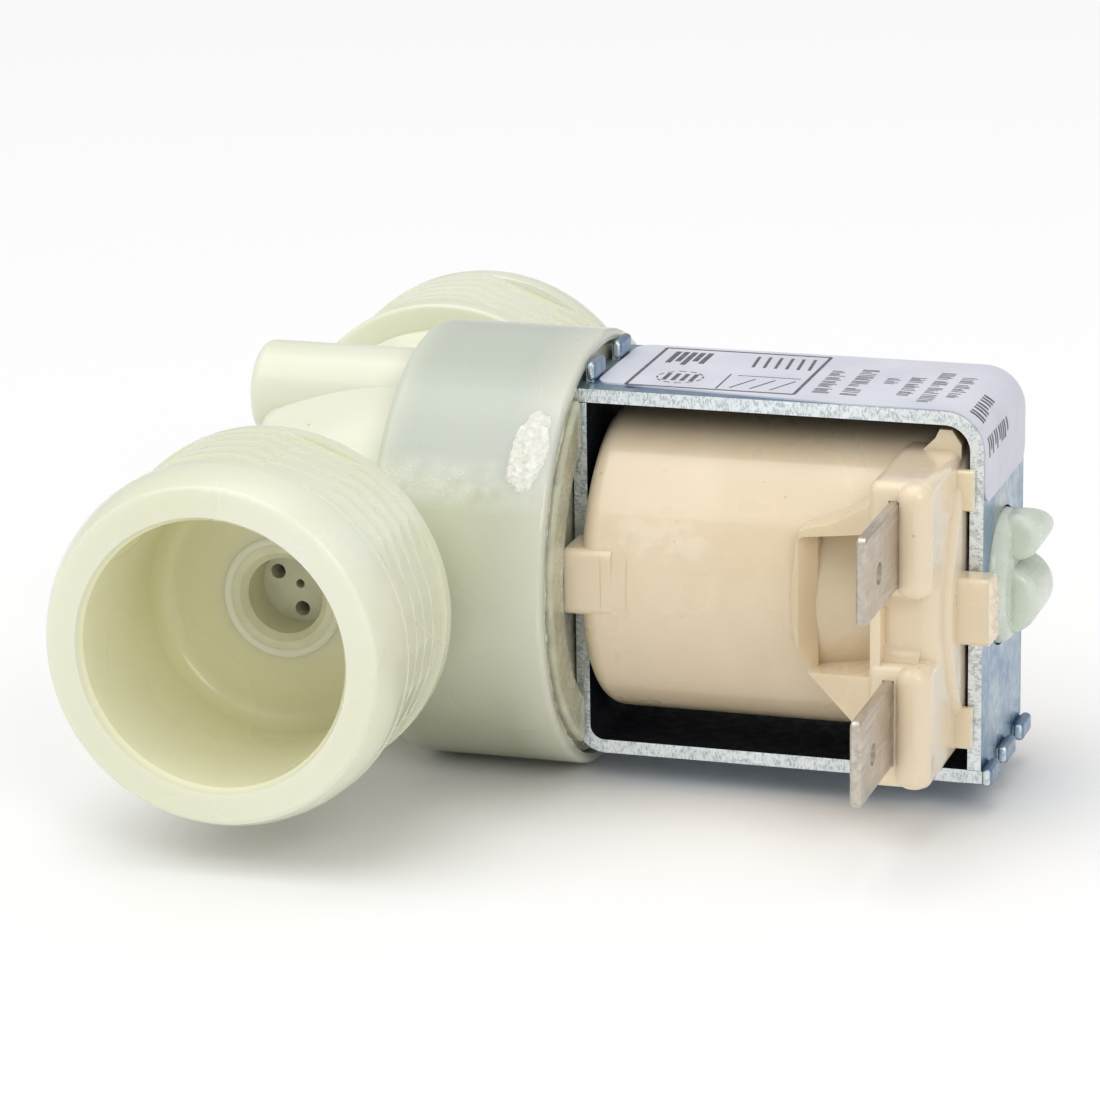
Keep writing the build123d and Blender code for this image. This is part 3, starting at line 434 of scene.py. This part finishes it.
def zinc_plate():
    """Zinc-plated sheet: bluish outside, with painted shade, near black, on the inner faces, and
    bright pitted sheared edges.
    """
    s = Shader("zinc_plate", (0.6, 0.66, 0.7), 0.35, metallic=1.0)
    cloud = s.step(s.noise(4.0, 5.0), 0.35, 0.68)
    face = s.mix(cloud, (0.22, 0.32, 0.45), (0.40, 0.49, 0.56))
    warm = s.step(s.noise(7.0, 3.0, offset=3.0), 0.5, 0.72)
    face = s.mix(s.math("MULTIPLY", warm, 0.5), face, (0.44, 0.43, 0.36))
    off_middle = s.math("ABSOLUTE", s.axis("Z"))
    # Painted shade: the plates' inner faces under the coil are coloured near black; they are also
    # made rougher.
    inner = s.math("MULTIPLY", s.step(off_middle, 12.92, 12.86), s.step(s.axis("X"), 56.6, 56.2))
    face = s.mix(inner, face, (0.018, 0.020, 0.028))
    across = s.noise(0.14, 3.0, (1.0, 1.0, 0.45))
    along = s.noise(0.14, 3.0, (0.45, 1.0, 1.0), offset=4.0)
    on_plates = s.step(off_middle, 12.2, 12.7)
    grain = s.mix(on_plates, along, across)
    coarse = s.math("MULTIPLY", s.noise(0.5, 5.0), 0.4)
    pits = s.step(s.math("ADD", s.math("MULTIPLY", grain, 0.6), coarse), 0.46, 0.62)
    edge = s.mix(pits, (0.88, 0.94, 0.98), (0.55, 0.62, 0.67))
    on_edge = s.step(s.normal("Y"), 0.75, 0.9)
    s.color(s.mix(on_edge, face, edge))
    dull = s.step(s.noise(0.8, 4.0, offset=5.0), 0.3, 0.7, 0.24, 0.44)
    worn = s.math("ADD", dull, s.math("MULTIPLY", on_edge, 0.08))
    flat = s.math("MULTIPLY", inner, s.math("SUBTRACT", 1.0, on_edge))
    s.roughness(s.math("ADD", worn, s.math("MULTIPLY", flat, 0.5)))
    fine = s.bump(s.noise(1.5, 4.0), 0.015)
    s.bump(s.math("MULTIPLY", on_edge, pits), 0.025, fine)
    return s.material


def tinned_brass():
    """Dull tin plate with drawn streaks along the blade."""
    s = Shader("tinned_brass", (0.66, 0.62, 0.57), 0.42, metallic=0.9)
    streak = s.step(s.noise(0.35, 4.0, (1, 0.10, 1)), 0.35, 0.7)
    cloud = s.step(s.noise(2.4, 3.0, offset=2.0), 0.35, 0.65)
    drawn = s.mix(streak, (0.66, 0.61, 0.55), (0.48, 0.43, 0.37))
    s.color(s.mix(cloud, drawn, (0.56, 0.49, 0.41)))
    s.roughness(s.step(s.noise(1.1, 4.0), 0.3, 0.7, 0.34, 0.55))
    s.bump(streak, 0.012)
    return s.material


def label_paper():
    """Coated white paper."""
    s = Shader("label_paper", (0.87, 0.87, 0.91), 0.5)
    s.color(s.mix(s.step(s.noise(6.0, 3.0), 0.3, 0.7), (0.60, 0.61, 0.69), (0.68, 0.69, 0.76)))
    s.roughness(s.step(s.noise(1.0, 3.0), 0.3, 0.7, 0.42, 0.56))
    s.bump(s.noise(0.25, 2.0), 0.004)
    return s.material


def printing_ink():
    """Grey-violet thermal print, slightly uneven."""
    s = Shader("printing_ink", (0.12, 0.11, 0.14), 0.55)
    s.color(s.mix(s.step(s.noise(0.5, 4.0), 0.3, 0.7), (0.07, 0.065, 0.085), (0.16, 0.15, 0.18)))
    return s.material


def regulator_plastic():
    """Olive-grey plastic of the flow regulator's cage, in soft patches of lighter and darker tone.
    """
    s = Shader("regulator_plastic", (0.68, 0.67, 0.5), 0.4, subsurface_weight=0.2,
               subsurface_radius=(1.0 * MM, 1.0 * MM, 0.7 * MM), subsurface_scale=1.0)
    s.color(s.mix(s.step(s.noise(2.0, 3.0), 0.3, 0.7), (0.72, 0.71, 0.54), (0.80, 0.785, 0.62)))
    s.bump(s.noise(0.8, 3.0), 0.02)
    return s.material


def rubber():
    """Matt black EPDM."""
    s = Shader("rubber", (0.03, 0.03, 0.03), 0.75)
    s.color(s.mix(s.noise(1.5, 3.0), (0.02, 0.02, 0.02), (0.05, 0.05, 0.05)))
    s.bump(s.noise(0.3, 3.0), 0.01)
    return s.material


def turned_steel():
    """Turned ferritic steel, with fine tool marks round the X axis."""
    s = Shader("magnet_steel", (0.58, 0.58, 0.57), 0.3, metallic=1.0)
    marks = s.noise(0.12, 2.0, (1, 0.02, 0.02))
    s.color(s.mix(marks, (0.50, 0.50, 0.50), (0.66, 0.66, 0.64)))
    s.bump(marks, 0.004)
    return s.material


def copper_wire():
    """Enamelled copper wire, wound in close turns round the X axis."""
    s = Shader("copper_wire", (0.6, 0.25, 0.1), 0.3, metallic=0.9)
    turns = s.math("SINE", s.math("MULTIPLY", s.axis("X"), 2 * math.pi / 0.22))
    height = s.step(turns, -1.0, 1.0)
    # Painted shade: the colour follows the height of the turns, dark in the grooves between them
    # and light on their crests.
    s.color(s.mix(height, (0.32, 0.12, 0.05), (0.72, 0.33, 0.14)))
    s.bump(height, 0.05)
    return s.material


def plain_moulding(name, dark, light):
    """Satin moulding for the inner plastic pieces."""
    s = Shader(name, light, 0.42)
    s.color(s.mix(s.step(s.noise(3.0, 3.0), 0.3, 0.7), dark, light))
    s.bump(s.noise(1.2, 3.0), 0.02)
    return s.material


def torn_plastic():
    """The same plastic where it is pressed thin: clearer and yellower."""
    s = Shader("torn_plastic", (0.76, 0.76, 0.60), 0.3, subsurface_weight=0.5,
               subsurface_radius=(2.0 * MM, 2.0 * MM, 1.2 * MM), subsurface_scale=1.0, ior=1.49)
    lumps = s.step(s.noise(0.9, 4.0), 0.35, 0.65)
    s.color(s.mix(lumps, (0.56, 0.555, 0.40), (0.72, 0.715, 0.57)))
    s.bump(lumps, 0.06)
    return s.material


def scraped_plastic():
    """The same plastic where it is scraped: white, rough and crumbly."""
    s = Shader("scraped_plastic", (0.9, 0.9, 0.84), 0.6, subsurface_weight=0.2,
               subsurface_radius=(1.0 * MM, 1.0 * MM, 0.8 * MM), subsurface_scale=1.0)
    lumps = s.step(s.noise(0.5, 5.0), 0.35, 0.65)
    s.color(s.mix(lumps, (0.78, 0.78, 0.66), (0.90, 0.90, 0.81)))
    s.bump(lumps, 0.08)
    return s.material


# -------------------------------------------------------------------------- extra pieces
def add_piece(name, mesh_data, material, smooth=True):
    """Links a finished bmesh, built in millimetres, as a piece that rides on the root."""
    mesh = bpy.data.meshes.new(name)
    bmesh.ops.scale(mesh_data, vec=(MM, MM, MM), verts=mesh_data.verts)
    bmesh.ops.recalc_face_normals(mesh_data, faces=mesh_data.faces)
    mesh_data.to_mesh(mesh)
    mesh_data.free()
    for polygon in mesh.polygons:
        polygon.use_smooth = smooth
    mesh.materials.append(material)
    piece = bpy.data.objects.new(name, mesh)
    bpy.context.scene.collection.objects.link(piece)
    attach(piece, "root")
    return piece


def grid_shell(shell, rows, columns, outer, inner):
    """Adds a closed sheet whose two skins are given as functions of row and column."""
    skins = []
    for skin in (outer, inner):
        skins.append([[shell.verts.new(skin(i, j)) for j in range(columns)] for i in range(rows)])
    for skin in skins:
        for i in range(rows - 1):
            for j in range(columns - 1):
                shell.faces.new((skin[i][j], skin[i + 1][j], skin[i + 1][j + 1], skin[i][j + 1]))
    rim = [(i, 0) for i in range(rows)]
    rim += [(rows - 1, j) for j in range(1, columns)]
    rim += [(i, columns - 1) for i in range(rows - 2, -1, -1)]
    rim += [(0, j) for j in range(columns - 2, 0, -1)]
    for here, there in zip(rim, rim[1:] + rim[:1]):
        shell.faces.new((
            skins[0][here[0]][here[1]],
            skins[0][there[0]][there[1]],
            skins[1][there[0]][there[1]],
            skins[1][here[0]][here[1]],
        ))


def around(radius, degrees, x):
    """A point at an angle about the coil axis; 0 faces -Y and 90 faces up."""
    angle = math.radians(degrees)
    return Vector((x, -radius * math.cos(angle), radius * math.sin(angle)))


def rough(scale, *place):
    """Fractal noise from about -1 to 1, with features of the given size."""
    return noise.fractal(Vector(place) / scale, 1.0, 2.0, 4)


def weld_flash():
    """The ragged lips of plastic pressed out of the weld between the cup and the bonnet."""
    shell = bmesh.new()
    foot = RIM_X - FLASH_ROOT
    for seed, first, last, root, height in FLASHES:
        rows = (last - first) * 2
        columns = 5
        sections = []
        for i in range(rows):
            angle = first + (last - first) * i / (rows - 1)
            along = angle * MM_PER_DEGREE
            ends = min(1.0, 12 * min(i, rows - 1 - i) / rows)
            wave = 0.5 + 0.5 * rough(2.2, along, seed, 0) + 0.3 * rough(0.6, along, seed, 5)
            tall = height * ends * max(0.12, min(1.4, wave))
            lean = 0.22 * rough(1.6, along, seed, 9)
            sections.append((angle, tall, lean))

        def outer(i, j):
            angle, tall, lean = sections[i]
            share = j / (columns - 1)
            return around(root + 0.10 + lean * share, angle, foot + (0.5 + tall) * share)

        def inner(i, j):
            angle, tall, lean = sections[i]
            share = j / (columns - 1)
            radius = root - 0.14 * (1 - 0.7 * share) + lean * share
            return around(radius, angle, foot + (0.45 + tall) * share)

        grid_shell(shell, rows, columns, outer, inner)
    return shell


def scraped_patch():
    """The white, crumbly scrape on the cup's upper front, next to the rim."""
    shell = bmesh.new()
    rows, columns = 72, 72

    def skin(i, j, lifted):
        across = 2 * i / (rows - 1) - 1
        along = 2 * j / (columns - 1) - 1
        reach = math.hypot(across, along)
        edge = 1.0 + 0.16 * rough(0.8, math.atan2(along, across) * 2, 3.0, 1.0)
        inside = max(0.0, 1 - (reach / edge) ** 2)
        x = SCRAPE_X + 1.5 * across * (1 - 0.15 * along)
        angle = SCRAPE_ANGLE + 12.0 * along + 2.0 * across
        lumps = 0.07 + 0.09 * rough(0.5, x, angle * MM_PER_DEGREE, 2.0)
        share = min(1.0, 4 * inside)
        height = lumps * share - 0.06 * (1 - share)
        return around(CUP_R + (height if lifted else -0.12), angle, x)

    grid_shell(shell, rows, columns, lambda i, j: skin(i, j, True), lambda i, j: skin(i, j, False))
    return shell


def cage_lip():
    """The rounded lip that closes the gap round the flow regulator."""
    shell = bmesh.new()
    turns, sides = 96, 14
    rings = []
    for i in range(turns):
        a = 2 * math.pi * i / turns
        ring = []
        for j in range(sides):
            b = 2 * math.pi * j / sides
            r = LIP_R + LIP_THICK * math.cos(b)
            y = LIP_Y - 0.6 * LIP_THICK * math.sin(b)
            ring.append(shell.verts.new((PIPE_X + r * math.cos(a), y, r * math.sin(a))))
        rings.append(ring)
    for i in range(turns):
        here, there = rings[i], rings[(i + 1) % turns]
        for j in range(sides):
            k = (j + 1) % sides
            shell.faces.new((here[j], there[j], there[k], here[k]))
    return shell


def gate_stub():
    """The torn end of the moulding gate on the middle tab."""
    shell = bmesh.new()
    rows, columns = 26, 16

    def skin(i, j, lifted):
        z = STUB_FOOT[1] + STUB_SIZE[1] * i / (rows - 1)
        y = STUB_FOOT[0] + STUB_SIZE[0] * j / (columns - 1)
        rim = min(i, rows - 1 - i, j, columns - 1 - j)
        height = 0.22 + 0.30 * rough(0.45, y, z, 4.0) if rim > 0 else -0.05
        spread = 0.12 * rough(0.4, y, z, 8.0) if rim == 0 else 0.0
        lift = max(-0.04, height) if lifted else -0.2
        return Vector((COIL_HIGH.x + lift, y + spread, z + spread))

    grid_shell(shell, rows, columns, lambda i, j: skin(i, j, True), lambda i, j: skin(i, j, False))
    return shell


# --------------------------------------------------------------------------- label's print
def on_label(s, y, lift):
    """A point above the label: s runs along the top, round the bend and down the end."""
    bend_start = LABEL_HIGH.x - LABEL_BEND_R
    radius = LABEL_BEND_R + lift
    if s <= bend_start:
        return Vector((s, y, LABEL_HIGH.z + lift))
    turn = (s - bend_start) / LABEL_BEND_R
    if turn <= math.pi / 2:
        return Vector((
            bend_start + radius * math.sin(turn),
            y,
            LABEL_HIGH.z - LABEL_BEND_R + radius * math.cos(turn),
        ))
    down = (turn - math.pi / 2) * LABEL_BEND_R
    return Vector((LABEL_HIGH.x + lift, y, LABEL_HIGH.z - LABEL_BEND_R - down))


def stroke(shell, s0, y0, s1, y1, width):
    """A straight printed line between two points of the label."""
    start, end = Vector((s0, y0)), Vector((s1, y1))
    direction = (end - start).normalized()
    side = Vector((-direction.y, direction.x)) * width / 2
    rows = max(2, int((end - start).length / 0.35) + 2)

    def skin(i, j, lift):
        middle = start.lerp(end, i / (rows - 1)) + (side if j else -side)
        return on_label(middle.x, middle.y, lift)

    grid_shell(shell, rows, 2, lambda i, j: skin(i, j, INK_TOP), lambda i, j: skin(i, j, -INK_TOP))


def print_frame(shell):
    """The framed field with plain shapes in it."""
    left, right, near, far = PRINT_FIELD
    for ends in ((left, near, right, near), (right, near, right, far),
                 (right, far, left, far), (left, far, left, near)):
        stroke(shell, *ends, 0.26)
    middle = (left + right) / 2 + 0.4
    stroke(shell, middle, near + 0.3, middle, near + 4.6, 0.12)
    for i in range(5):
        place = left + 1.2 + 0.62 * i
        stroke(shell, place, far - 0.9, place, far - 0.9 - (3.4, 2.9, 3.8, 2.6, 3.2)[i], 0.42)
    turns = 24
    for i in range(0, turns, 2):
        a, b = (2 * math.pi * k / turns for k in (i, i + 1.2))
        stroke(shell, left + 3.3 + 1.7 * math.cos(a), near + 2.9 + 1.7 * math.sin(a),
               left + 3.3 + 1.7 * math.cos(b), near + 2.9 + 1.7 * math.sin(b), 0.14)
    for i in range(4):
        place = left + 2.3 + 0.68 * i
        stroke(shell, place, near + 1.9, place, near + 3.9, 0.34)
    for i in range(3):
        stroke(shell, middle + 0.9 + 1.5 * i, near + 0.8, middle + 2.1 + 1.5 * i, near + 3.6, 0.16)
    stroke(shell, middle + 0.6, near + 4.4, right - 0.6, near + 4.4, 0.14)
    for i in range(6):
        place = middle + 0.7 + 0.85 * i
        stroke(shell, place, far - 1.0, place + 0.3, far - 4.2, 0.24)


def print_rows(shell):
    """Rows of short bars where the label carries its small print."""
    dice = random.Random(5)
    for s, near, far, height in PRINT_ROWS:
        y = far
        while y > near:
            word = dice.uniform(0.5, 1.0)
            for _ in range(dice.randint(3, 6)):
                tall = height * dice.choice((0.6, 0.8, 1.0, 1.0))
                stroke(shell, s - height / 2, y, s - height / 2 + tall, y - 0.05, 0.15)
                y -= dice.choice((0.28, 0.34, 0.42))
                if y < near:
                    break
            y -= 0.35 * word
    for s, near, far, height in BOLD_ROWS:
        y = far
        while y > near:
            tall = height * dice.choice((0.7, 0.9, 1.0))
            stroke(shell, s - height / 2, y, s - height / 2 + tall, y + 0.22, 0.34)
            y -= dice.choice((0.55, 0.62, 0.80))


def label_print():
    """All the print of the label as one thin layer of ink."""
    shell = bmesh.new()
    print_frame(shell)
    print_rows(shell)
    return shell


def add_details():
    """The small marks of moulding, welding and printing."""
    body = bpy.data.materials["body_plastic"]
    overmould = bpy.data.materials["overmould_plastic"]
    add_piece("weld_flash", weld_flash(), torn_plastic())
    add_piece("scraped_patch", scraped_patch(), scraped_plastic())
    add_piece("cage_lip", cage_lip(), body)
    add_piece("gate_stub", gate_stub(), overmould)
    add_piece("label_print", label_print(), printing_ink(), smooth=False)


def soft_copy(name, node):
    """Stands in for a soft node that shortens along X with a joint, with an unchanging copy of its
    mesh that stays put on the root.
    """
    solid = NODES[node]
    piece = bpy.data.objects.new(name, solid.data.copy())
    bpy.context.scene.collection.objects.link(piece)
    for place, source in zip(piece.material_slots, solid.material_slots):
        place.material = source.material
    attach(piece, "root")
    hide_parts(node)
    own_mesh(piece)


def add_soft_copies():
    """The return spring and the membrane, as unchanging copies on the root."""
    soft_copy("return_spring", "armature_spring")
    soft_copy("membrane", "diaphragm")


def finish_cad_nodes():
    """Gives every CAD node its material."""
    finishes = {
        "valve_body": body_plastic(),
        "flow_regulator_cage": regulator_plastic(),
        "bonnet": bonnet_plastic(),
        "coil_overmould": overmould_plastic(),
        "rating_label": label_paper(),
        "diaphragm_insert": plain_moulding("insert_plastic", (0.7, 0.69, 0.64), (0.82, 0.81, 0.76)),
        "bobbin": plain_moulding("bobbin_plastic", (0.68, 0.62, 0.48), (0.78, 0.73, 0.60)),
    }
    shared = [
        (rubber(), ("flow_regulator_ring", "diaphragm", "armature_seal")),
        (turned_steel(), ("armature", "armature_spring", "flux_sleeve_inner", "flux_sleeve_outer")),
        (copper_wire(), ("winding", "winding_leads")),
        (zinc_plate(), ("yoke_upper", "yoke_lower")),
        (tinned_brass(), ("terminal_upper", "terminal_lower")),
    ]
    for material, names in shared:
        for name in names:
            finishes[name] = material
    for name, material in finishes.items():
        for place in NODES[name].material_slots:
            place.material = material


make_camera()
make_studio()
finish_cad_nodes()
add_soft_copies()
add_details()
